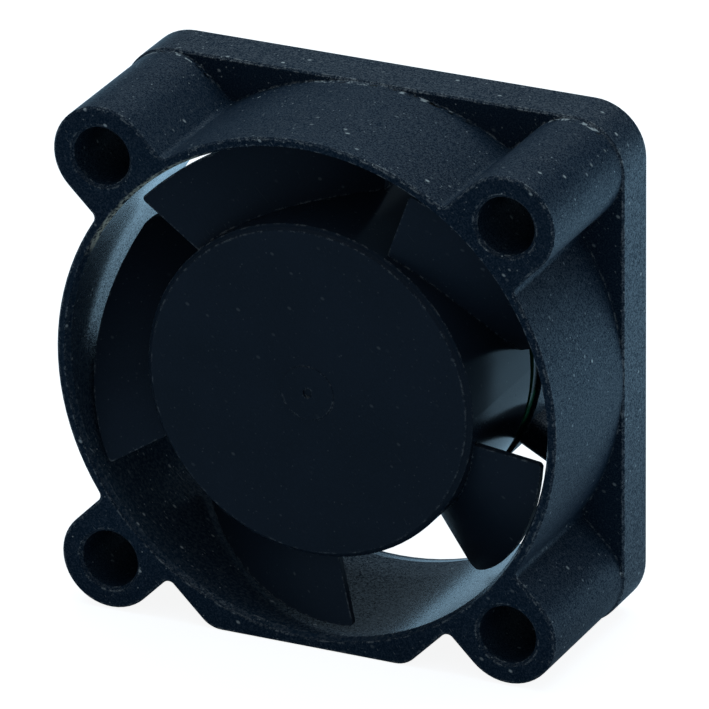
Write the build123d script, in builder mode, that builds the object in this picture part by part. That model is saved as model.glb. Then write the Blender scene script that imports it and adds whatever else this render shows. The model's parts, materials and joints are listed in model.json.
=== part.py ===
from build123d import *
from math import asin, atan, cos, hypot, radians, sin, sqrt
import os

# A small square cooling fan: a moulded frame, a five-blade impeller and a four-pole outer-rotor motor.
# Millimetres. The inlet side is the front and faces -Y, the spin axis is the Y axis and Z is up.
# The origin is the middle of the frame. Every depth is measured back from the front face.

# Frame outline
frame_size = 25.0
frame_depth = 10.0
flange_thickness = 2.6
corner_radius = 2.5
hole_inset = 2.5
hole_radius = 1.4
hole_chamfer = 0.15
post_count = 4
post_angle = 45
post_radius = 2.4
notch_fillet = 0.35
foot_notch_wall = 0.1
foot_corner_fillet = 1.3
front_edge_chamfer = 0.1
flange_edge_chamfer = 0.1

# Duct
duct_relief = 0.05
duct_wall = 0.55
inlet_flare_width = 0.17
inlet_flare_depth = 0.35
outlet_flare_width = 0.2
outlet_flare_depth = 0.85
tip_clearance = 0.35

# Motor base and struts, which are part of the frame
base_radius = 8.2
base_floor = 1.0
rim_wall = 1.0
boss_wall = 1.0
cavity_depth = 0.9
strut_angles = (-28, 92, 212)
strut_width = 1.6
strut_depth = 1.8
strut_nose_fillet = 0.45
strut_root = 0.35
wire_strut_width = 2.8
channel_width = 1.5
channel_depth = 1.15
channel_strut = 212
channel_start = 6.3

# Shaft, bearing and thrust end
shaft_radius = 0.75
running_gap = 0.03
press_gap = 0.02
bearing_wall = 0.7
tube_wall = 0.4
tube_gap = 0.5
bearing_inset = 0.3
bearing_chamfer = 0.15
shaft_nose_chamfer = 0.2
washer_thickness = 0.15
groove_depth = 0.2
clip_thickness = 0.2
clip_width = 0.55
clip_gap = 0.15
clip_mouth = 0.6
shaft_end_length = 0.35
thrust_gap = 0.05
thrust_thickness = 0.25
plug_thickness = 0.6
plug_radius = 2.4
plug_recess = 0.15

# Impeller
hub_radius = 8.1
hub_setback = 0.4
hub_face = 0.8
hub_wall = 0.55
hub_rear_gap = 0.6
hub_edge_chamfer = 0.25
hub_boss_radius = 1.8
hub_boss_length = 0.8
shaft_grip = 0.3
gate_disc_radius = 1.3
gate_disc_height = 0.03
gate_dimple_radius = 0.23
gate_dimple_depth = 0.1
blade_count = 5
blade_first_angle = 64.1
blade_sweep = 53.3
blade_skew = 2.1
blade_front = 0.8
blade_root_front = 1.2
blade_rear = 6.35
blade_camber = 36.0
blade_root_thickness = 0.6
blade_tip_thickness = 0.45
blade_edge_thinning = 0.35
blade_root_depth = 0.3
blade_front_corner = 0.2
blade_rear_corner = 0.6
blade_sections = 7
blade_margin = 0.04
blade_trim = 0.25

# Rotor magnet and its steel cup
yoke_wall = 0.35
yoke_lip_radius = 4.5
yoke_recess = 0.2
magnet_wall = 1.1
magnet_recess = 0.35
magnet_slit = 0.15
air_gap = 0.25

# Stator
pole_count = 4
pole_first_angle = 45
core_wall = 0.8
pole_arm_width = 1.4
shoe_thickness = 0.55
shoe_gap = 0.9
insulator_thickness = 0.5
insulator_wall = 0.35
insulator_wall_height = 0.7
coil_build = 0.65
coil_fit = 0.03
stator_standoff = 1.8
winding_front_gap = 0.45
pin_size = 0.4
pin_reach = 0.55
pin_embed = 0.8
pin_boss_radius = 0.5
pin_offset_angle = 28
pin_count = 3
pin_range = 180

# Circuit board
board_radius = 8.0
board_thickness = 0.6
board_hole_fit = 0.1
pin_hole_fit = 0.1
solder_radius = 0.6
solder_height = 0.35
solder_taper = 35
chip_length = 2.6
chip_width = 1.4
chip_height = 0.65
chip_lead_length = 0.5
chip_lead_width = 0.35
chip_lead_thickness = 0.18
chip_lead_spacing = 0.95
chip_lead_count = 3
chip_edge_chamfer = 0.1
chip_angle = 28
chip_inset = 0.2
capacitor_length = 1.6
capacitor_width = 0.8
capacitor_height = 0.6
capacitor_angle = 118
resistor_length = 1.1
resistor_width = 0.6
resistor_height = 0.35
resistor_angle = 298
chip_part_circle = 5.2
end_cap_length = 0.3
end_cap_step = 0.04

# Worked out from the sizes above
half = frame_size / 2
hole_offset = half - hole_inset
hole_circle = hole_offset * sqrt(2)
duct_radius = half - duct_relief
bore_radius = duct_radius - duct_wall
inlet_radius = bore_radius + inlet_flare_width
outlet_radius = bore_radius + outlet_flare_width
tip_radius = bore_radius - tip_clearance
flange_front = frame_depth - flange_thickness
floor_front = frame_depth - base_floor
board_rear = floor_front - cavity_depth
board_front = board_rear - board_thickness
stator_seat = board_front - stator_standoff
stack_rear = stator_seat - insulator_thickness
bearing_bore = shaft_radius + running_gap
bearing_radius = bearing_bore + bearing_wall
tube_bore = bearing_radius + press_gap
tube_radius = tube_bore + tube_wall
boss_bore = tube_radius + press_gap
boss_radius = boss_bore + boss_wall
plug_front = frame_depth - plug_recess - plug_thickness
thrust_front = plug_front - thrust_thickness
shaft_end = thrust_front - thrust_gap
clip_rear = shaft_end - shaft_end_length
clip_front = clip_rear - clip_thickness
hub_inner_face = hub_setback + hub_face
hub_inner_radius = hub_radius - hub_wall
hub_rear = board_front - hub_rear_gap
hub_boss_rear = hub_inner_face + hub_boss_length
tube_front = hub_boss_rear + tube_gap
bearing_front = tube_front + bearing_inset
bearing_rear = clip_front - clip_gap
shaft_front = hub_inner_face - shaft_grip
yoke_radius = hub_inner_radius - press_gap
yoke_inner = yoke_radius - yoke_wall
yoke_front = hub_inner_face
yoke_face = yoke_front + yoke_wall
yoke_rear = hub_rear - yoke_recess
magnet_rear = hub_rear - magnet_recess
winding_front_limit = yoke_face + winding_front_gap
stack_front = winding_front_limit + coil_build + coil_fit + insulator_thickness
stack_length = stack_rear - stack_front
magnet_radius = yoke_inner - press_gap
magnet_inner = magnet_radius - magnet_wall
chip_circle = magnet_inner + chip_inset
stator_radius = magnet_inner - air_gap
shoe_inner = stator_radius - shoe_thickness
core_inner = tube_radius + press_gap
core_radius = core_inner + core_wall
coil_inner = max(core_radius, boss_radius) + coil_fit
coil_half_width = pole_arm_width / 2 + coil_fit + coil_build
coil_outer = sqrt((shoe_inner - insulator_wall) ** 2 - coil_half_width**2) - coil_fit
pin_circle = shoe_inner - insulator_wall / 2
pin_angle = pole_first_angle + pin_offset_angle
insulator_rear = stack_rear + insulator_thickness + insulator_wall_height


def at_depth(depth):
    """Plane across the spin axis at this depth, facing the front."""
    return Plane.XZ.offset(frame_depth / 2 - depth)


def along(depth):
    """Y of this depth."""
    return depth - frame_depth / 2


def outward(angle):
    """Unit vector from the spin axis at this angle, seen from the front."""
    return Vector(cos(radians(angle)), 0, sin(radians(angle)))


def facing_plane(angle, radius):
    """Plane that faces outward at this angle and radius: x runs round the axis and y is Y."""
    return Plane(outward(angle) * radius, x_dir=outward(angle - 90), z_dir=outward(angle))


def save(piece, name):
    """Label a finished piece and write its file."""
    piece.part.label = name
    export_step(piece.part, f"parts/{name}.step")


os.makedirs("parts", exist_ok=True)


# Frame: duct, flange, posts, foot, motor base and struts in one moulding
notch_reach = duct_radius + foot_notch_wall
foot_line = sqrt(2) * sqrt(notch_reach**2 - post_radius**2)
foot_half_width = foot_line - half
foot_side_end = foot_line / 2

with BuildPart() as frame:
    with BuildSketch(at_depth(frame_depth)):
        RectangleRounded(frame_size, frame_size, corner_radius)
    extrude(amount=flange_thickness)
    flange_faces = frame.faces().filter_by(Axis.Y)
    chamfer(flange_faces.edges(), flange_edge_chamfer)

    # Duct, posts and foot stand forward from the flange
    with BuildSketch(at_depth(flange_front + flange_edge_chamfer)) as front_outline:
        Circle(duct_radius)
        with PolarLocations(hole_circle, post_count, start_angle=post_angle):
            Circle(post_radius)
        with PolarLocations(hole_circle / 2, post_count, start_angle=post_angle):
            Rectangle(hole_circle, 2 * post_radius)
        # Flat foot between the two lower posts
        Polygon(
            (-foot_half_width, -half),
            (foot_half_width, -half),
            (foot_side_end, -foot_side_end),
            (-foot_side_end, -foot_side_end),
            align=None,
        )
        foot_corners = front_outline.vertices().group_by(Axis.Y)[0]
        fillet(foot_corners, foot_corner_fillet)
        near_duct = notch_reach + foot_notch_wall
        notches = front_outline.vertices().filter_by(lambda v: hypot(v.X, v.Y) < near_duct)
        fillet(notches, notch_fillet)
    extrude(amount=flange_front + flange_edge_chamfer)
    front_edges = frame.faces().sort_by(Axis.Y)[0].edges()
    chamfer(front_edges, front_edge_chamfer)

    # Bore, flared a little at the inlet and more gently at the outlet
    with BuildSketch(Plane.XY):
        with BuildLine():
            Polyline(
                (0, along(0)),
                (inlet_radius, along(0)),
                (bore_radius, along(inlet_flare_depth)),
                (bore_radius, along(frame_depth - outlet_flare_depth)),
                (outlet_radius, along(frame_depth)),
                (0, along(frame_depth)),
                close=True,
            )
        make_face()
    revolve(axis=Axis.Y, mode=Mode.SUBTRACT)

    # Screw holes through the posts
    with BuildSketch(at_depth(frame_depth)):
        with PolarLocations(hole_circle, post_count, start_angle=post_angle):
            Circle(hole_radius)
    extrude(amount=frame_depth, mode=Mode.SUBTRACT)
    round_edges = frame.edges().filter_by(GeomType.CIRCLE)
    hole_rims = round_edges.filter_by(lambda e: e.radius == hole_radius).sort_by(Axis.Y)
    chamfer(hole_rims[:post_count], hole_chamfer)

    # Motor base: a shallow cup with a boss for the bearing tube
    with BuildSketch(Plane.XY):
        with BuildLine():
            Polyline(
                (boss_bore, along(stator_seat)),
                (boss_radius, along(stator_seat)),
                (boss_radius, along(floor_front)),
                (base_radius - rim_wall, along(floor_front)),
                (base_radius - rim_wall, along(board_rear)),
                (base_radius, along(board_rear)),
                (base_radius, along(frame_depth)),
                (plug_radius + press_gap, along(frame_depth)),
                (plug_radius + press_gap, along(plug_front)),
                (boss_bore, along(plug_front)),
                close=True,
            )
        make_face()
    revolve(axis=Axis.Y)

    # Struts, one of them wide enough for the wire channel
    strut_start = base_radius - rim_wall / 2
    strut_length = bore_radius + strut_root - strut_start
    for angle in strut_angles:
        width = wire_strut_width if angle == channel_strut else strut_width
        with BuildSketch(facing_plane(angle, strut_start)) as strut:
            with Locations((0, along(frame_depth - strut_depth / 2))):
                Rectangle(width, strut_depth)
            fillet(strut.vertices().group_by(Axis.Y)[0], strut_nose_fillet)
        extrude(amount=strut_length)
    with BuildSketch(at_depth(frame_depth)):
        with PolarLocations(0, 1, start_angle=channel_strut):
            with Locations((channel_start + half / 2, 0)):
                Rectangle(half, channel_width)
    extrude(amount=channel_depth, mode=Mode.SUBTRACT)
save(frame, "frame")


# Impeller: the hub cup with its shaft boss, then five curved blades
with BuildPart() as hub:
    with BuildSketch(Plane.XY):
        with BuildLine():
            Polyline(
                (0, along(hub_setback)),
                (hub_radius, along(hub_setback)),
                (hub_radius, along(hub_rear)),
                (hub_inner_radius, along(hub_rear)),
                (hub_inner_radius, along(hub_inner_face)),
                (hub_boss_radius, along(hub_inner_face)),
                (hub_boss_radius, along(hub_boss_rear)),
                (shaft_radius + press_gap, along(hub_boss_rear)),
                (shaft_radius + press_gap, along(shaft_front - press_gap)),
                (0, along(shaft_front - press_gap)),
                close=True,
            )
        make_face()
    revolve(axis=Axis.Y)
    front_rim = hub.faces().sort_by(Axis.Y)[0].edges()
    chamfer(front_rim, hub_edge_chamfer)
    # Low disc and dimple where the plastic was injected
    with BuildSketch(at_depth(hub_setback)):
        Circle(gate_disc_radius)
    extrude(amount=gate_disc_height)
    with BuildSketch(at_depth(hub_setback - gate_disc_height)):
        Circle(gate_dimple_radius)
    extrude(amount=-gate_dimple_depth, mode=Mode.SUBTRACT)

# The blade's centre line is a circular arc at the tip, laid round the axis over the blade's sweep.
# The root lags the tip by the skew and starts a little further back.
root_radius = hub_radius - blade_root_depth
stock_radius = tip_radius + blade_trim
blade_arc = tip_radius * radians(blade_sweep)
blade_pitch = atan((blade_rear - blade_front) / blade_arc)
entry_slope = blade_pitch - radians(blade_camber) / 2
exit_slope = blade_pitch + radians(blade_camber) / 2
camber_radius = blade_arc / (sin(exit_slope) - sin(entry_slope))


def blade_slope(share):
    """Slope of the centre line at this share of the sweep, at the tip."""
    return asin(sin(entry_slope) + share * blade_arc / camber_radius)


def blade_plane(share):
    """Plane along the axis from root to tip at this share of the sweep: y is Y."""
    angle = blade_first_angle - share * blade_sweep
    root = outward(angle - blade_skew) * root_radius
    span = outward(angle) * stock_radius - root
    return Plane(root, x_dir=span, z_dir=span.cross(Vector(0, 1, 0)))


def blade_outline(share):
    """Corners of the blade's section at this share of the sweep."""
    slope = blade_slope(share)
    tip_depth = blade_front + camber_radius * (cos(entry_slope) - cos(slope))
    progress = (tip_depth - blade_front) / (blade_rear - blade_front)
    root_depth = blade_root_front + progress * (blade_rear - blade_root_front)
    thinning = 1 - blade_edge_thinning * (2 * share - 1) ** 2
    root_half = blade_root_thickness * thinning / cos(slope) / 2
    tip_half = blade_tip_thickness * thinning / cos(slope) / 2
    span = (outward(0) * stock_radius - outward(-blade_skew) * root_radius).length
    return [
        (0, along(root_depth - root_half)),
        (span, along(tip_depth - tip_half)),
        (span, along(tip_depth + tip_half)),
        (0, along(root_depth + root_half)),
    ]


# Each blade is lofted a little too large, then trimmed to its outline as seen from the front
blade_end = blade_first_angle - blade_sweep
with BuildPart() as blade:
    for number in range(blade_sections):
        share = number / (blade_sections - 1)
        stock_share = share + blade_margin * (2 * share - 1)
        with BuildSketch(blade_plane(stock_share)):
            Polygon(*blade_outline(stock_share), align=None)
    loft()
    with BuildSketch(at_depth(hub_rear)) as blade_face:
        with BuildLine():
            tip_arc = CenterArc((0, 0), tip_radius, blade_end, blade_sweep)
            root_front = PolarLine((0, 0), root_radius, blade_first_angle - blade_skew, mode=Mode.PRIVATE) @ 1
            root_rear = PolarLine((0, 0), root_radius, blade_end - blade_skew, mode=Mode.PRIVATE) @ 1
            Polyline(tip_arc @ 1, root_front, root_rear, tip_arc @ 0)
        make_face()
        fillet(blade_face.vertices().sort_by_distance(tip_arc @ 1)[0], blade_front_corner)
        fillet(blade_face.vertices().sort_by_distance(tip_arc @ 0)[0], blade_rear_corner)
    extrude(amount=hub_rear, mode=Mode.INTERSECT)

with BuildPart() as impeller:
    add(hub.part)
    for number in range(blade_count):
        add(blade.part.rotate(Axis.Y, number * 360 / blade_count))
save(impeller, "impeller")

# Shaft with a round nose at the back and a groove for its clip
with BuildPart() as shaft:
    with BuildSketch(at_depth(shaft_end)):
        Circle(shaft_radius)
    extrude(amount=shaft_end - shaft_front)
    chamfer(shaft.faces().sort_by(Axis.Y)[-1].edges(), shaft_nose_chamfer)
    with BuildSketch(at_depth(clip_rear)):
        Circle(shaft_radius)
        Circle(shaft_radius - groove_depth, mode=Mode.SUBTRACT)
    extrude(amount=clip_rear - clip_front, mode=Mode.SUBTRACT)
save(shaft, "shaft")

# Split clip that snaps into the groove
clip_inner = shaft_radius - groove_depth + press_gap
with BuildPart() as retaining_clip:
    with BuildSketch(at_depth(clip_rear - press_gap)):
        Circle(clip_inner + clip_width)
        Circle(clip_inner, mode=Mode.SUBTRACT)
        with Locations((0, clip_inner + clip_width / 2)):
            Rectangle(clip_mouth, 2 * clip_width, mode=Mode.SUBTRACT)
    extrude(amount=clip_thickness - 2 * press_gap)
save(retaining_clip, "retaining_clip")

# Steel cup that carries the magnet in the hub
with BuildPart() as rotor_yoke:
    with BuildSketch(Plane.XY):
        with BuildLine():
            Polyline(
                (yoke_lip_radius, along(yoke_front)),
                (yoke_radius, along(yoke_front)),
                (yoke_radius, along(yoke_rear)),
                (yoke_inner, along(yoke_rear)),
                (yoke_inner, along(yoke_face)),
                (yoke_lip_radius, along(yoke_face)),
                close=True,
            )
        make_face()
    revolve(axis=Axis.Y)
save(rotor_yoke, "rotor_yoke")

# Bonded magnet strip, bent into a ring with its two ends butted
with BuildPart() as rotor_magnet:
    with BuildSketch(at_depth(magnet_rear)):
        Circle(magnet_radius)
        Circle(magnet_inner, mode=Mode.SUBTRACT)
        with Locations((0, -(magnet_radius + magnet_inner) / 2)):
            Rectangle(magnet_slit, 2 * magnet_wall, mode=Mode.SUBTRACT)
    extrude(amount=magnet_rear - yoke_face)
save(rotor_magnet, "rotor_magnet")

# Brass tube, pressed into the boss, and the sintered bearing in it
with BuildPart() as bearing_tube:
    with BuildSketch(at_depth(plug_front)):
        Circle(tube_radius)
        Circle(tube_bore, mode=Mode.SUBTRACT)
    extrude(amount=plug_front - tube_front)
save(bearing_tube, "bearing_tube")

with BuildPart() as sleeve_bearing:
    with BuildSketch(at_depth(bearing_rear)):
        Circle(bearing_radius)
        Circle(bearing_bore, mode=Mode.SUBTRACT)
    extrude(amount=bearing_rear - bearing_front)
    bearing_edges = sleeve_bearing.edges().filter_by(GeomType.CIRCLE)
    chamfer(bearing_edges.filter_by(lambda e: e.radius == bearing_radius), bearing_chamfer)
save(sleeve_bearing, "sleeve_bearing")

with BuildPart() as oil_washer:
    with BuildSketch(at_depth(bearing_front)):
        Circle(bearing_radius - press_gap)
        Circle(bearing_bore, mode=Mode.SUBTRACT)
    extrude(amount=washer_thickness)
save(oil_washer, "oil_washer")

# Hard pad that the shaft's nose runs on, and the plug that closes the hole behind it
with BuildPart() as thrust_pad:
    with BuildSketch(at_depth(plug_front)):
        Circle(tube_bore - press_gap)
    extrude(amount=thrust_thickness)
save(thrust_pad, "thrust_pad")

with BuildPart() as rear_plug:
    with BuildSketch(at_depth(plug_front + plug_thickness)):
        Circle(plug_radius)
    extrude(amount=plug_thickness)
    chamfer(rear_plug.faces().sort_by(Axis.Y)[-1].edges(), plug_recess)
save(rear_plug, "rear_plug")


def draw_pole_outline(outer_radius, shoe):
    """Draw the pole pieces and their core in the open sketch."""
    Circle(outer_radius)
    Circle(outer_radius - shoe, mode=Mode.SUBTRACT)
    with PolarLocations(outer_radius, pole_count, start_angle=pole_first_angle + 180 / pole_count):
        Rectangle(2 * outer_radius, shoe_gap, mode=Mode.SUBTRACT)
    with PolarLocations(outer_radius / 2, pole_count, start_angle=pole_first_angle):
        Rectangle(outer_radius - shoe / 2, pole_arm_width)
    Circle(core_radius)
    Circle(core_inner, mode=Mode.SUBTRACT)


# Stack of bonded steel sheets with four poles
with BuildPart() as stator_laminations:
    with BuildSketch(at_depth(stack_rear)):
        draw_pole_outline(stator_radius, shoe_thickness)
    extrude(amount=stack_length)
save(stator_laminations, "stator_laminations")

# Moulded insulators on both ends of the stack, with walls that keep the windings in
for name, seat, direction in (("front_insulator", stack_front, 1), ("rear_insulator", stack_rear, -1)):
    with BuildPart() as insulator:
        with BuildSketch(at_depth(seat)):
            draw_pole_outline(shoe_inner, insulator_wall)
        extrude(amount=direction * insulator_thickness)
        with BuildSketch(at_depth(seat)):
            Circle(shoe_inner)
            Circle(shoe_inner - insulator_wall, mode=Mode.SUBTRACT)
            with PolarLocations(shoe_inner, pole_count, start_angle=pole_first_angle + 180 / pole_count):
                Rectangle(2 * shoe_inner, shoe_gap, mode=Mode.SUBTRACT)
            if name == "rear_insulator":
                with PolarLocations(pin_circle, pin_count, pin_angle, pin_range, endpoint=True):
                    Circle(pin_boss_radius)
        extrude(amount=direction * (insulator_thickness + insulator_wall_height))
        if name == "rear_insulator":
            with BuildSketch(at_depth(insulator_rear)):
                with PolarLocations(pin_circle, pin_count, pin_angle, pin_range, endpoint=True):
                    Rectangle(pin_size + 2 * press_gap, pin_size + 2 * press_gap)
            extrude(amount=pin_embed + press_gap, mode=Mode.SUBTRACT)
    save(insulator, name)

# One winding round each pole
winding_depth = (stack_front + stack_rear) / 2
winding_hole_width = pole_arm_width + 2 * coil_fit
winding_hole_height = stack_length + 2 * (insulator_thickness + coil_fit)
for number in range(pole_count):
    with BuildPart() as coil:
        with BuildSketch(facing_plane(pole_first_angle + number * 360 / pole_count, coil_inner)):
            with Locations((0, along(winding_depth))):
                RectangleRounded(
                    winding_hole_width + 2 * coil_build,
                    winding_hole_height + 2 * coil_build,
                    coil_build,
                )
                Rectangle(winding_hole_width, winding_hole_height, mode=Mode.SUBTRACT)
        extrude(amount=coil_outer - coil_inner)
    save(coil, f"coil_{number + 1}")

# Pins that carry the winding ends from the rear insulator through the board
pin_rear = board_rear + pin_reach
with BuildPart() as terminal_pins:
    with BuildSketch(at_depth(pin_rear)):
        with PolarLocations(pin_circle, pin_count, pin_angle, pin_range, endpoint=True):
            Rectangle(pin_size, pin_size)
    extrude(amount=pin_rear - insulator_rear + pin_embed)
save(terminal_pins, "terminal_pins")

# Ring-shaped board on the rim of the motor base
with BuildPart() as circuit_board:
    with BuildSketch(at_depth(board_rear)):
        Circle(board_radius)
        Circle(boss_radius + board_hole_fit, mode=Mode.SUBTRACT)
        with PolarLocations(pin_circle, pin_count, pin_angle, pin_range, endpoint=True):
            Circle(pin_size / sqrt(2) + pin_hole_fit, mode=Mode.SUBTRACT)
    extrude(amount=board_thickness)
save(circuit_board, "circuit_board")

# Solder on the pins, behind the board
with BuildPart() as solder_joints:
    with BuildSketch(at_depth(board_rear)):
        with PolarLocations(pin_circle, pin_count, pin_angle, pin_range, endpoint=True):
            Circle(solder_radius)
    extrude(amount=-solder_height, taper=solder_taper)
    with BuildSketch(at_depth(board_rear)):
        with PolarLocations(pin_circle, pin_count, pin_angle, pin_range, endpoint=True):
            Rectangle(pin_size + 2 * press_gap, pin_size + 2 * press_gap)
    extrude(amount=-solder_height, mode=Mode.SUBTRACT)
save(solder_joints, "solder_joints")

# Motor driver with the field sensor inside, right behind the magnet
with BuildPart() as drive_chip:
    with BuildSketch(at_depth(board_front)):
        with PolarLocations(chip_circle, 1, start_angle=chip_angle):
            Rectangle(chip_width, chip_length)
    extrude(amount=chip_height)
    chamfer(drive_chip.faces().sort_by(Axis.Y)[0].edges(), chip_edge_chamfer)
    with BuildSketch(at_depth(board_front)):
        with PolarLocations(chip_circle, 1, start_angle=chip_angle):
            with GridLocations(0, chip_lead_spacing, 1, chip_lead_count):
                Rectangle(chip_width + 2 * chip_lead_length, chip_lead_width)
    extrude(amount=chip_lead_thickness)
save(drive_chip, "drive_chip")

# Chip parts behind the board, each a body between two slightly larger end caps
chip_parts = (
    ("filter_capacitor", capacitor_length, capacitor_width, capacitor_height, capacitor_angle),
    ("chip_resistor", resistor_length, resistor_width, resistor_height, resistor_angle),
)
for name, length, width, height, angle in chip_parts:
    with BuildPart() as chip_part:
        with BuildSketch(at_depth(board_rear)):
            with PolarLocations(chip_part_circle, 1, start_angle=angle):
                Rectangle(width - 2 * end_cap_step, length)
        extrude(amount=-(height - end_cap_step))
        with BuildSketch(at_depth(board_rear)):
            with PolarLocations(chip_part_circle, 1, start_angle=angle):
                with GridLocations(0, length - end_cap_length, 1, 2):
                    Rectangle(width, end_cap_length)
        extrude(amount=-height)
    save(chip_part, name)
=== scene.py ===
import json
from math import cos, radians, sin

import bpy
from mathutils import Matrix, Vector


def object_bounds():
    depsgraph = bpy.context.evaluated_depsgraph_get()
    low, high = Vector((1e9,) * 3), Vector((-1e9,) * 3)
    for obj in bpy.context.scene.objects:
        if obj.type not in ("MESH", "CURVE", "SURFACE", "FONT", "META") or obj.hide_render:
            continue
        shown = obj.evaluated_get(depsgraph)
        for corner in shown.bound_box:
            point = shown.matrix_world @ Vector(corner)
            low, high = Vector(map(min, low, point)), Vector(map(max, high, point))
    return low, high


# Looks of a small square cooling fan. Metres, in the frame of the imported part: the inlet faces -Y, the spin
# axis is Y and Z is up.

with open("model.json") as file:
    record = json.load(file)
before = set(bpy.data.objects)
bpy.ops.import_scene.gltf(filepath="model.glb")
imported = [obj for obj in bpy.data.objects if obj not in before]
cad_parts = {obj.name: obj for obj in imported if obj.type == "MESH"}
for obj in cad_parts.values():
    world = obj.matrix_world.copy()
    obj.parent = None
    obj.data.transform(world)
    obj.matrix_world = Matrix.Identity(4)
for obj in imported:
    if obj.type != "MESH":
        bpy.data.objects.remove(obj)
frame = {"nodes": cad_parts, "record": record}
cad_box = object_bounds()

MM = 0.001


def colour(red, green, blue):
    """Linear colour from display values of 0 to 255."""
    def linear(value):
        share = value / 255
        return share / 12.92 if share <= 0.04045 else ((share + 0.055) / 1.055) ** 2.4
    return (linear(red), linear(green), linear(blue), 1.0)


# Camera, fitted to the photograph, with its angles in degrees

CAMERA_AZIMUTH = 25.458
CAMERA_ELEVATION = 23.734
CAMERA_ROLL = -0.621
CAMERA_DISTANCE = 487.0 * MM
CAMERA_TARGET = Vector((0.183, 0.0, 0.081)) * MM
CLIP_RANGE = (0.01, 10)
FOCAL_PIXELS = 10716.6
IMAGE_PIXELS = 709
SENSOR_WIDTH = 36.0  # millimetres, as Blender gives it

# Studio

FLOOR_REACH = 3.0
FLOOR_COLOUR = (0.38, 0.46, 0.52, 1)
FLOOR_WHITE = (0.9, 0.9, 0.9, 1)
BACKDROP_WHITE = (1, 1, 1, 1)
SKY_COLOUR = (0.22, 0.235, 0.25, 1)
BLACK = (0, 0, 0, 1)

# What shiny pieces mirror: dark surroundings, and a floor that turns bright blue between two places on Y

MIRRORED_FRONT = (0.04, 0.06, 0.08, 1)
MIRRORED_BACK = (0.37, 0.71, 1.0, 1)
FRONT_TO_BACK = (-5 * MM, 35 * MM)

# Lamps, in metres and watts: one overhead, and weaker ones at the right and behind

LAMP_TINT = (0.74, 0.91, 1.0)
BACK_LAMP_TINT = (0.55, 0.80, 1.0)
KEY_LAMP = {"place": (-0.02, 0.10, 0.36), "size": (0.40, 0.40), "power": 0.66, "tint": LAMP_TINT}
SIDE_LAMP = {"place": (0.40, 0.16, 0.06), "size": (0.30, 0.34), "power": 0.10, "tint": LAMP_TINT}
BACK_LAMP = {"place": (-0.25, 0.32, 0.16), "size": (0.40, 0.34), "power": 0.06, "tint": BACK_LAMP_TINT}

# Surface of moulded plastic. A cover is the range of a noise over which a mark fades in or out, a share is
# how much of it shows, and a gain multiplies the sheen.

GRAIN_SIZE = 0.075 * MM
PIT_COVER = (0.40, 0.50)
PIT_TONE = 0.3
PEAK_COVER = (0.50, 0.62)
PEAK_TONE = 2.6
DRIFT_SIZE = 4 * MM
DRIFT_COVER = (0.35, 0.65)
MOST_OF_NOISE = (0.3, 0.7)
ROUGHNESS_SPREAD = 0.07
POLISHED_SHARE = 0.35
EDGE_SOFTNESS = 0.04 * MM
EDGE_SAMPLES = 4
WALL_FADE = 0.05 * MM

# Dust, wear and painted edge highlights

# Pale colour of dust, also painted on scuffed edges and flash as highlights
DUST_AND_HIGHLIGHT_COLOUR = colour(185, 196, 200)
DUST_SPACING = 0.7 * MM
DUST_RADIUS = 0.09 * MM
DUST_TURN = (0.3, 0.5, 0.2)
DUST_PICK = (0.3, 0.95)
DUST_LEVELS = (0.15, 1)
SCRATCH_TURN = (0.4, 0.9, 0.3)
SCRATCH_SIZE = (2.5 * MM, 0.05 * MM, 0.05 * MM)
SCRATCH_COVER = (0.80, 0.84)
SCRATCH_SHARE = 0.3
# Scuffs along sharp edges, painted pale partly as highlights
SCUFF_AND_HIGHLIGHT_REACH = 0.14 * MM
SCUFF_AND_HIGHLIGHT_TURN = (0.99, 0.93)
SCUFF_AND_HIGHLIGHT_SIZE = 0.3 * MM
SCUFF_AND_HIGHLIGHT_COVER = (0.50, 0.62)

# Frame, with flash on the parting line in front of the flange painted as highlight and shade, and a burr on
# the inlet's edge painted as a highlight

FRAME_SHADE = colour(22, 41, 59)
FRAME_PATCH = colour(25, 45, 63)
BORE_WALL = (11.8 * MM, 12.0 * MM)
FILM_SIZE = 0.15 * MM
FILM_COVER = (0.42, 0.68)
FILM_SHARE = 0.08
PARTING_LINE = 2.4 * MM
FLASH_BAND = (PARTING_LINE - 0.26 * MM, PARTING_LINE - 0.06 * MM)
FLASH_FADE = 0.04 * MM
FLASH_HEIGHT = (11.2 * MM, 11.7 * MM)
FLASH_SIZE = 0.5 * MM
# Pale flash specks are painted highlights and dark ones painted shade
FLASH_HIGHLIGHT_COVER = (0.54, 0.60)
FLASH_HIGHLIGHT_SHARE = 0.8
FLASH_SHADE_COVER = (0.46, 0.40)
INLET_EDGE = (11.86 * MM, 12.02 * MM)
BURR_ACROSS = (-5.5 * MM, -4.5 * MM)
BURR_HEIGHT = (4.9 * MM, 5.9 * MM)
BURR_DEPTH = (cad_box[0].y + 0.4 * MM, cad_box[0].y + 0.5 * MM)
BURR_SIZE = 0.25 * MM
# The burr is painted pale as a highlight
BURR_HIGHLIGHT_COVER = (0.42, 0.54)
BURR_HIGHLIGHT_SHARE = 0.95
BURR_HIGHLIGHT_COLOUR = colour(225, 228, 212)
GLINT_COVER = (0.40, 0.62)
GLINT_LEVELS = (0.02, 0.66)
PATCH_SIZE = 2 * GRAIN_SIZE
PATCH_COVER = (0.4, 0.6)
PATCH_GAINS = (0.6, 1.4)
BORE_GAIN = 1.32
FLANGE_EDGE = (PARTING_LINE - 0.05 * MM, PARTING_LINE)
FLANGE_GAIN = 1.7
FRONT_FACING = (-0.98, -0.90)
FRONT_GAIN = 0.35

# Impeller

IMPELLER_SHADE = colour(31, 43, 56)
IMPELLER_PATCH = colour(34, 46, 60)
IMPELLER_SHEEN = 0.09
HUB_WALL = (8.0 * MM, 8.15 * MM)

# Plain plastics, each with its two shades, its roughness and the depth of its grain

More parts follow.
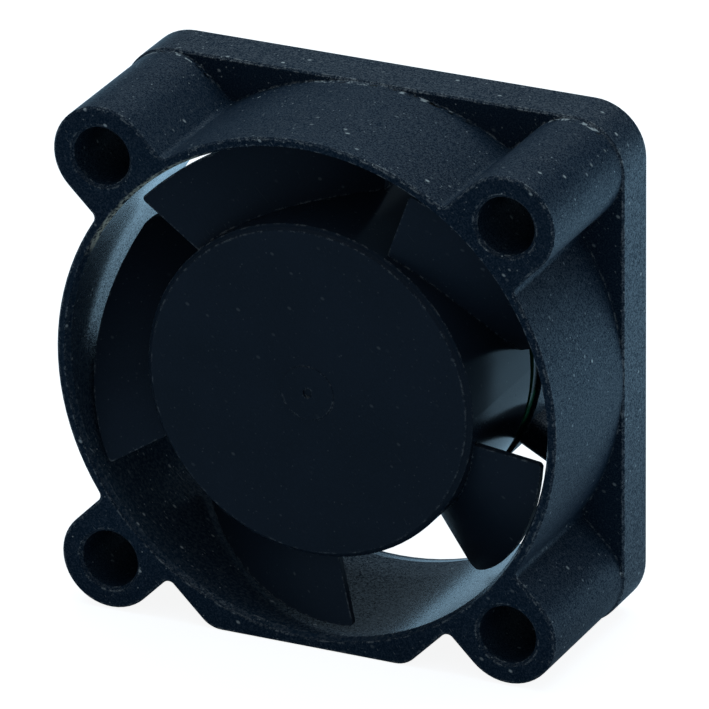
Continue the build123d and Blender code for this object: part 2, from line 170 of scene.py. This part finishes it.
PLASTICS = {
    "magnet": (colour(60, 56, 56), colour(50, 47, 47), 0.6, 0.01 * MM),
    "insulator": (colour(225, 222, 210), colour(215, 212, 200), 0.45, 0.004 * MM),
    "chip_plastic": (colour(40, 40, 43), colour(34, 34, 37), 0.5, 0.005 * MM),
    "ceramic": (colour(176, 146, 104), colour(166, 136, 96), 0.35, 0.003 * MM),
    "nylon": (colour(226, 224, 214), colour(216, 214, 204), 0.4, 0.003 * MM),
    "plug_rubber": (colour(34, 35, 38), colour(40, 41, 44), 0.6, 0.006 * MM),
}
PLASTIC_SHEEN = 0.4

# Circuit board

BOARD_SHADE = colour(30, 122, 80)
BOARD_PATCH = colour(36, 134, 88)
# Edge of the board darkened as painted shade, except near one spot
BOARD_EDGE_SHADE = colour(16, 28, 26)
FLAT_FACING = (0.4, 0.6)
UNSHADED_SPOT = (7.7 * MM, 2.8 * MM, -2.35 * MM)
UNSHADED_SPOT_RADII = (0.8 * MM, 1.0 * MM)

# Metals, each with its colour, its roughness and the size of its grain

METALS = {
    "steel": (colour(190, 190, 192), 0.3, 0.5 * MM),
    "electrical_steel": (colour(150, 152, 158), 0.4, 0.3 * MM),
    "brass": (colour(214, 180, 110), 0.28, 0.5 * MM),
    "bronze": (colour(160, 120, 80), 0.5, 0.1 * MM),
    "copper_wire": (colour(190, 105, 60), 0.25, 0.12 * MM),
    "tin": (colour(205, 206, 208), 0.25, 0.2 * MM),
}
METAL_SHADE = 0.75
METAL_SPREAD = 0.08
METAL_RELIEF = 0.004 * MM


# Camera


def make_camera():
    """Camera at the photograph's viewing angle."""
    azimuth, elevation, roll = (radians(a) for a in (CAMERA_AZIMUTH, CAMERA_ELEVATION, CAMERA_ROLL))
    back = Vector((sin(azimuth) * cos(elevation), -cos(azimuth) * cos(elevation), sin(elevation)))
    level = Vector((cos(azimuth), sin(azimuth), 0))
    above = back.cross(level)
    right = level * cos(roll) + above * sin(roll)
    up = above * cos(roll) - level * sin(roll)
    data = bpy.data.cameras.new("camera")
    data.sensor_width = SENSOR_WIDTH
    data.lens = FOCAL_PIXELS * SENSOR_WIDTH / IMAGE_PIXELS
    data.clip_start, data.clip_end = CLIP_RANGE
    camera = bpy.data.objects.new("camera", data)
    bpy.context.scene.collection.objects.link(camera)
    turn = Matrix((right, up, back)).transposed().to_4x4()
    camera.matrix_world = Matrix.Translation(CAMERA_TARGET + back * CAMERA_DISTANCE) @ turn
    bpy.context.scene.camera = camera


# Nodes


def coordinates(tree, kind):
    """Output of the texture coordinates: Object is the place in metres, Normal where the surface faces."""
    return tree.nodes.new("ShaderNodeTexCoord").outputs[kind]


def separate(tree, vector):
    """Outputs X, Y and Z of a vector."""
    node = tree.nodes.new("ShaderNodeSeparateXYZ")
    tree.links.new(vector, node.inputs[0])
    return node.outputs


def arithmetic(tree, operation, *values):
    """Result of a math node on numbers, each a socket or a value."""
    node = tree.nodes.new("ShaderNodeMath")
    node.operation = operation
    for socket, value in zip(node.inputs, values):
        if isinstance(value, (int, float)):
            socket.default_value = value
        else:
            tree.links.new(value, socket)
    return node.outputs[0]


def product(tree, first, *others):
    """Product of numbers, each a socket or a value."""
    for other in others:
        first = arithmetic(tree, "MULTIPLY", first, other)
    return first


def vector_math(tree, operation, first, second=None):
    """Outputs of a vector math node, whose second vector is a socket, a value or left out."""
    node = tree.nodes.new("ShaderNodeVectorMath")
    node.operation = operation
    tree.links.new(first, node.inputs[0])
    if isinstance(second, tuple):
        node.inputs[1].default_value = second
    elif second is not None:
        tree.links.new(second, node.inputs[1])
    return node.outputs


def ramp(tree, value, low, high, start, end):
    """Value remapped from the range low to high into the range start to end, clamped."""
    node = tree.nodes.new("ShaderNodeMapRange")
    node.inputs["From Min"].default_value = low
    node.inputs["From Max"].default_value = high
    node.inputs["To Min"].default_value = start
    node.inputs["To Max"].default_value = end
    tree.links.new(value, node.inputs["Value"])
    return node.outputs["Result"]


def blend(tree, share, first, second):
    """Mix of two colours, each a socket or a value."""
    node = tree.nodes.new("ShaderNodeMix")
    node.data_type = "RGBA"
    for socket, value in ((node.inputs["A"], first), (node.inputs["B"], second)):
        if isinstance(value, tuple):
            socket.default_value = value
        else:
            tree.links.new(value, socket)
    tree.links.new(share, node.inputs["Factor"])
    return node.outputs["Result"]


def drawn_out(tree, place, turn, size):
    """Place in a space turned by these angles in radians, where a texture is drawn out to this size."""
    node = tree.nodes.new("ShaderNodeMapping")
    node.vector_type = "TEXTURE"
    node.inputs["Rotation"].default_value = turn
    node.inputs["Scale"].default_value = size
    tree.links.new(place, node.inputs["Vector"])
    return node.outputs["Vector"]


def noise(tree, place, size, detail=2.0, rough=0.5):
    """Noise whose features are about this size, in metres."""
    node = tree.nodes.new("ShaderNodeTexNoise")
    node.inputs["Scale"].default_value = 1 / size
    node.inputs["Detail"].default_value = detail
    node.inputs["Roughness"].default_value = rough
    tree.links.new(place, node.inputs["Vector"])
    return node.outputs["Fac"]


def bump(tree, height, depth, normal=None, strength=None):
    """Bump normal from a height of 0 to 1 over this depth in metres."""
    node = tree.nodes.new("ShaderNodeBump")
    node.inputs["Strength"].default_value = 1.0
    node.inputs["Distance"].default_value = depth
    tree.links.new(height, node.inputs["Height"])
    if normal is not None:
        tree.links.new(normal, node.inputs["Normal"])
    if strength is not None:
        tree.links.new(strength, node.inputs["Strength"])
    return node.outputs["Normal"]


def soft_edges(tree, radius):
    """Normal of the surface with its sharp edges rounded over this radius in metres."""
    node = tree.nodes.new("ShaderNodeBevel")
    node.samples = EDGE_SAMPLES
    node.inputs["Radius"].default_value = radius
    return node.outputs["Normal"]


# Studio


def backdrop_glow(tree, brightest, daylight, mirrored):
    """Glow that is brightest to the camera and through clear pieces, and differs in shiny and dull ones."""
    rays = tree.nodes.new("ShaderNodeLightPath").outputs
    white = arithmetic(tree, "MAXIMUM", rays["Is Camera Ray"], rays["Is Transmission Ray"])
    shiny = blend(tree, rays["Is Glossy Ray"], daylight, mirrored)
    return blend(tree, white, shiny, brightest)


def floor_material():
    """Pale floor that glows white to the camera and, in shiny pieces, dark in front and blue behind."""
    material = bpy.data.materials.new("floor")
    material.use_nodes = True
    tree = material.node_tree
    tree.nodes.clear()
    out = tree.nodes.new("ShaderNodeOutputMaterial")
    diffuse = tree.nodes.new("ShaderNodeBsdfDiffuse")
    diffuse.inputs["Color"].default_value = FLOOR_COLOUR
    glow = tree.nodes.new("ShaderNodeEmission")
    behind = ramp(tree, separate(tree, coordinates(tree, "Object"))["Y"], *FRONT_TO_BACK, 0, 1)
    mirrored = blend(tree, behind, MIRRORED_FRONT, MIRRORED_BACK)
    tree.links.new(backdrop_glow(tree, FLOOR_WHITE, BLACK, mirrored), glow.inputs["Color"])
    both = tree.nodes.new("ShaderNodeAddShader")
    tree.links.new(diffuse.outputs[0], both.inputs[0])
    tree.links.new(glow.outputs[0], both.inputs[1])
    tree.links.new(both.outputs[0], out.inputs["Surface"])
    return material


def make_floor():
    """Square floor at the lowest point of the part."""
    reach = FLOOR_REACH
    low = cad_box[0].z
    corners = [(-reach, -reach, low), (reach, -reach, low), (reach, reach, low), (-reach, reach, low)]
    mesh = bpy.data.meshes.new("floor")
    mesh.from_pydata(corners, [], [(0, 1, 2, 3)])
    floor = bpy.data.objects.new("floor", mesh)
    bpy.context.scene.collection.objects.link(floor)
    mesh.materials.append(floor_material())


def make_world():
    """World that is white to the camera, weak daylight to dull surfaces and dark in shiny ones."""
    world = bpy.data.worlds.new("studio")
    world.use_nodes = True
    tree = world.node_tree
    sky = backdrop_glow(tree, BACKDROP_WHITE, SKY_COLOUR, MIRRORED_FRONT)
    tree.links.new(sky, tree.nodes["Background"].inputs["Color"])
    bpy.context.scene.world = world


def area_light(name, place, size, power, tint):
    """Soft rectangular lamp at a place in metres, aimed at the fan."""
    data = bpy.data.lights.new(name, "AREA")
    data.shape = "RECTANGLE"
    data.size, data.size_y = size
    data.energy = power
    data.color = tint
    lamp = bpy.data.objects.new(name, data)
    bpy.context.scene.collection.objects.link(lamp)
    lamp.location = place
    lamp.rotation_euler = (-Vector(place)).to_track_quat("-Z", "Y").to_euler()


def make_lamps():
    """The studio's three soft lamps."""
    area_light("key", **KEY_LAMP)
    area_light("side", **SIDE_LAMP)
    area_light("back", **BACK_LAMP)


# Moulded plastic


def new_material(name):
    """Material with a Principled shader, its node tree, that shader and the place on the object."""
    material = bpy.data.materials.new(name)
    material.use_nodes = True
    tree = material.node_tree
    return material, tree, tree.nodes["Principled BSDF"], coordinates(tree, "Object")


def mould_grain(tree, place):
    """Height of the fine grain that the mould leaves, from 0 to 1."""
    return noise(tree, place, GRAIN_SIZE, detail=3, rough=0.6)


def between(tree, value, low, high, fade):
    """Mask of the values from low to high, faded over this width at both ends."""
    rising = ramp(tree, value, low - fade, low, 0, 1)
    return product(tree, rising, ramp(tree, value, high, high + fade, 1, 0))


def round_wall(tree, place, radii):
    """Mask of the wall between two radii from the spin axis."""
    flat = vector_math(tree, "MULTIPLY", place, (1, 0, 1))["Vector"]
    return between(tree, vector_math(tree, "LENGTH", flat)["Value"], *radii, WALL_FADE)


def drifting(tree, place, base, patch):
    """Colour that drifts slowly between two shades of a plastic."""
    drift = noise(tree, place, DRIFT_SIZE, detail=3)
    return blend(tree, ramp(tree, drift, *DRIFT_COVER, 0, 1), base, patch)


def grained(tree, tone, base, grain, share):
    """Tone with the pits of the grain darker and its peaks lighter by this share."""
    dark = tuple(PIT_TONE * part for part in base[:3]) + (1.0,)
    light = tuple(PEAK_TONE * part for part in base[:3]) + (1.0,)
    tone = blend(tree, ramp(tree, grain, *PIT_COVER, share, 0), tone, dark)
    return blend(tree, ramp(tree, grain, *PEAK_COVER, 0, share), tone, light)


def mould_surface(tree, shader, grain, rough, depth, polished=None):
    """Roughness and relief of moulded plastic, both weaker where the polished mask is white."""
    spread = ROUGHNESS_SPREAD
    roughness = ramp(tree, grain, *MOST_OF_NOISE, rough - spread, rough + spread)
    strength = None
    if polished is not None:
        strength = ramp(tree, polished, 0, 1, 1, POLISHED_SHARE)
        roughness = product(tree, roughness, strength)
    tree.links.new(roughness, shader.inputs["Roughness"])
    edges = soft_edges(tree, EDGE_SOFTNESS)
    tree.links.new(bump(tree, grain, depth, edges, strength), shader.inputs["Normal"])


# Dust, wear and painted edge highlights


def specks(tree, place, spacing, radius, length=1.0):
    """Mask of mostly faint dots, about one in each cube of this spacing, this much longer than wide."""
    cells = tree.nodes.new("ShaderNodeTexVoronoi")
    cells.inputs["Scale"].default_value = 1 / spacing
    tree.links.new(drawn_out(tree, place, DUST_TURN, (length, 1, 1)), cells.inputs["Vector"])
    dots = ramp(tree, cells.outputs["Distance"], 0.5 * radius / spacing, radius / spacing, 1, 0)
    shares = tree.nodes.new("ShaderNodeSeparateColor")
    tree.links.new(cells.outputs["Color"], shares.inputs["Color"])
    return product(tree, dots, ramp(tree, shares.outputs["Red"], *DUST_PICK, *DUST_LEVELS))


def scratches(tree, place):
    """Mask of sparse straight scratches along one direction."""
    drawn = drawn_out(tree, place, SCRATCH_TURN, SCRATCH_SIZE)
    return ramp(tree, noise(tree, drawn, size=1.0, detail=0), *SCRATCH_COVER, 0, 1)


def scuffed_and_highlit_edges(tree, place):
    """Mask of scuffs along sharp edges, partly painted highlights, where a rounded normal turns away from the
    mesh's own.
    """
    normal = tree.nodes.new("ShaderNodeNewGeometry").outputs["Normal"]
    turn = vector_math(tree, "DOT_PRODUCT", soft_edges(tree, SCUFF_AND_HIGHLIGHT_REACH), normal)["Value"]
    scuff_and_highlight = noise(tree, place, SCUFF_AND_HIGHLIGHT_SIZE, detail=4, rough=0.7)
    return product(tree, ramp(tree, turn, *SCUFF_AND_HIGHLIGHT_TURN, 0, 1), ramp(tree, scuff_and_highlight, *SCUFF_AND_HIGHLIGHT_COVER, 0, 1))


def worn_and_highlit(tree, place, tone, dust, scuffs_and_highlights):
    """Tone with specks of dust, fine scratches and pale scuffed edges, partly painted highlights, of these
    strengths.
    """
    large = specks(tree, place, DUST_SPACING, DUST_RADIUS, length=1.5)
    small = specks(tree, place, DUST_SPACING / 2, DUST_RADIUS / 2)
    flecks = specks(tree, place, 2.5 * DUST_SPACING, 0.8 * DUST_RADIUS, length=3.0)
    marks = (
        (large, dust),
        (small, 0.9 * dust),
        (flecks, dust),
        (scratches(tree, place), SCRATCH_SHARE * dust),
        # Scuffed edges, painted pale partly as highlights
        (scuffed_and_highlit_edges(tree, place), scuffs_and_highlights),
    )
    for mask, share in marks:
        tone = blend(tree, product(tree, mask, share), tone, DUST_AND_HIGHLIGHT_COLOUR)
    return tone


# Frame


def filmed(tree, place, tone, bore):
    """Tone with a thin broken film of dust on the wall of the bore."""
    film = noise(tree, place, FILM_SIZE, detail=3, rough=0.6)
    share = product(tree, bore, ramp(tree, film, *FILM_COVER, 0, FILM_SHARE))
    return blend(tree, share, tone, DUST_AND_HIGHLIGHT_COLOUR)


def burred_and_highlit(tree, place, tone, parts):
    """Tone with a broken burr along one stretch of the inlet's edge, painted pale as a highlight."""
    edge = product(
        tree,
        round_wall(tree, place, INLET_EDGE),
        ramp(tree, parts["X"], *BURR_ACROSS, 1, 0),
        ramp(tree, parts["Y"], *BURR_DEPTH, 1, 0),
        ramp(tree, parts["Z"], *BURR_HEIGHT, 0, 1),
    )
    burr_highlight = noise(tree, place, BURR_SIZE, detail=3, rough=0.7)
    share = product(tree, edge, ramp(tree, burr_highlight, *BURR_HIGHLIGHT_COVER, 0, BURR_HIGHLIGHT_SHARE))
    return blend(tree, share, tone, BURR_HIGHLIGHT_COLOUR)


def flash_highlit_and_shaded(tree, place, tone, parts):
    """Tone with flash along the top of the parting line, painted as pale highlights and dark shade."""
    line = between(tree, parts["Y"], *FLASH_BAND, FLASH_FADE)
    band = product(tree, line, ramp(tree, parts["Z"], *FLASH_HEIGHT, 0, 1))
    flash = noise(tree, place, FLASH_SIZE, detail=3, rough=0.7)
    pale = product(tree, band, ramp(tree, flash, *FLASH_HIGHLIGHT_COVER, 0, FLASH_HIGHLIGHT_SHARE))
    dark = product(tree, band, ramp(tree, flash, *FLASH_SHADE_COVER, 0, 1))
    return blend(tree, dark, blend(tree, pale, tone, DUST_AND_HIGHLIGHT_COLOUR), BLACK)


def frame_sheen(tree, place, grain, bore, parts):
    """Specular level that glints with the grain, higher in the bore and on the flange and lower in front."""
    patches = noise(tree, place, PATCH_SIZE, detail=2, rough=0.6)
    facing = separate(tree, coordinates(tree, "Normal"))["Y"]
    return product(
        tree,
        ramp(tree, grain, *GLINT_COVER, *GLINT_LEVELS),
        ramp(tree, patches, *PATCH_COVER, *PATCH_GAINS),
        ramp(tree, bore, 0, 1, 1, BORE_GAIN),
        ramp(tree, parts["Y"], *FLANGE_EDGE, 1, FLANGE_GAIN),
        ramp(tree, facing, *FRONT_FACING, FRONT_GAIN, 1),
    )


def frame_plastic():
    """Dark plastic with glinting grain, a polished bore, a shinier flange, and flash and a burr painted as
    highlights and shade.
    """
    material, tree, shader, place = new_material("frame_plastic")
    parts = separate(tree, place)
    grain = mould_grain(tree, place)
    bore = round_wall(tree, place, BORE_WALL)

    tone = drifting(tree, place, FRAME_SHADE, FRAME_PATCH)
    tone = grained(tree, tone, FRAME_SHADE, grain, share=0.16)
    tone = worn_and_highlit(tree, place, tone, dust=0.9, scuffs_and_highlights=0.5)
    tone = filmed(tree, place, tone, bore)
    tone = burred_and_highlit(tree, place, tone, parts)
    tone = flash_highlit_and_shaded(tree, place, tone, parts)
    tree.links.new(tone, shader.inputs["Base Color"])

    sheen = frame_sheen(tree, place, grain, bore, parts)
    tree.links.new(sheen, shader.inputs["Specular IOR Level"])
    mould_surface(tree, shader, grain, rough=0.5, depth=0.010 * MM, polished=bore)
    return material


# Impeller


def impeller_plastic():
    """Dark plastic with a little dust, scuffed edges partly painted as highlights, and a polished wall round
    the hub.
    """
    material, tree, shader, place = new_material("impeller_plastic")
    grain = mould_grain(tree, place)
    hub = round_wall(tree, place, HUB_WALL)

    tone = drifting(tree, place, IMPELLER_SHADE, IMPELLER_PATCH)
    tone = grained(tree, tone, IMPELLER_SHADE, grain, share=0.07)
    tone = worn_and_highlit(tree, place, tone, dust=0.12, scuffs_and_highlights=0.35)
    tree.links.new(tone, shader.inputs["Base Color"])

    shader.inputs["Specular IOR Level"].default_value = IMPELLER_SHEEN
    mould_surface(tree, shader, grain, rough=0.42, depth=0.006 * MM, polished=hub)
    return material


# Plain plastics


def moulded_plastic(name, base, patch, rough, depth):
    """Plain moulded plastic with fine grain and slow colour drift."""
    material, tree, shader, place = new_material(name)
    shader.inputs["Specular IOR Level"].default_value = PLASTIC_SHEEN
    tree.links.new(drifting(tree, place, base, patch), shader.inputs["Base Color"])
    mould_surface(tree, shader, mould_grain(tree, place), rough, depth)
    return material


# Circuit board


def circuit_board():
    """Green coated board whose edge is darkened as painted shade, except at one spot where it stays green."""
    material = moulded_plastic("board", BOARD_SHADE, BOARD_PATCH, rough=0.3, depth=0.003 * MM)
    tree = material.node_tree
    base_colour = tree.nodes["Principled BSDF"].inputs["Base Color"]
    coating = base_colour.links[0].from_socket

    normal = tree.nodes.new("ShaderNodeNewGeometry").outputs["Normal"]
    flatness = arithmetic(tree, "ABSOLUTE", separate(tree, normal)["Y"])
    away = vector_math(tree, "DISTANCE", coordinates(tree, "Object"), UNSHADED_SPOT)["Value"]
    unshaded = ramp(tree, away, *UNSHADED_SPOT_RADII, 1, 0)
    green_shows = arithmetic(tree, "MAXIMUM", unshaded, ramp(tree, flatness, *FLAT_FACING, 0, 1))
    tree.links.new(blend(tree, green_shows, BOARD_EDGE_SHADE, coating), base_colour)
    return material


# Metals


def metal(name, base, rough, grain_size):
    """Plain metal with drawn or cast grain."""
    material, tree, shader, place = new_material(name)
    shade = noise(tree, place, grain_size, detail=4, rough=0.6)
    dark = tuple(METAL_SHADE * part for part in base[:3]) + (1.0,)
    tone = blend(tree, ramp(tree, shade, *MOST_OF_NOISE, 0, 1), dark, base)
    roughness = ramp(tree, shade, *MOST_OF_NOISE, rough - METAL_SPREAD, rough + METAL_SPREAD)
    shader.inputs["Metallic"].default_value = 1.0
    tree.links.new(tone, shader.inputs["Base Color"])
    tree.links.new(roughness, shader.inputs["Roughness"])
    tree.links.new(bump(tree, shade, METAL_RELIEF), shader.inputs["Normal"])
    return material


# Scene


def make_materials():
    """One material for each slot of the record."""
    materials = {name: moulded_plastic(name, *look) for name, look in PLASTICS.items()}
    materials.update({name: metal(name, *look) for name, look in METALS.items()})
    materials["board"] = circuit_board()
    materials["frame_plastic"] = frame_plastic()
    materials["impeller_plastic"] = impeller_plastic()
    return materials


def dress_nodes():
    """Give every CAD node the material of its slot."""
    materials = make_materials()
    for row in frame["record"]["subparts"]:
        mesh = frame["nodes"][row["node"]].data
        mesh.materials.clear()
        mesh.materials.append(materials[row["material_slot"]])


make_camera()
make_floor()
make_world()
make_lamps()
dress_nodes()
bpy.context.scene.view_settings.view_transform = "Standard"
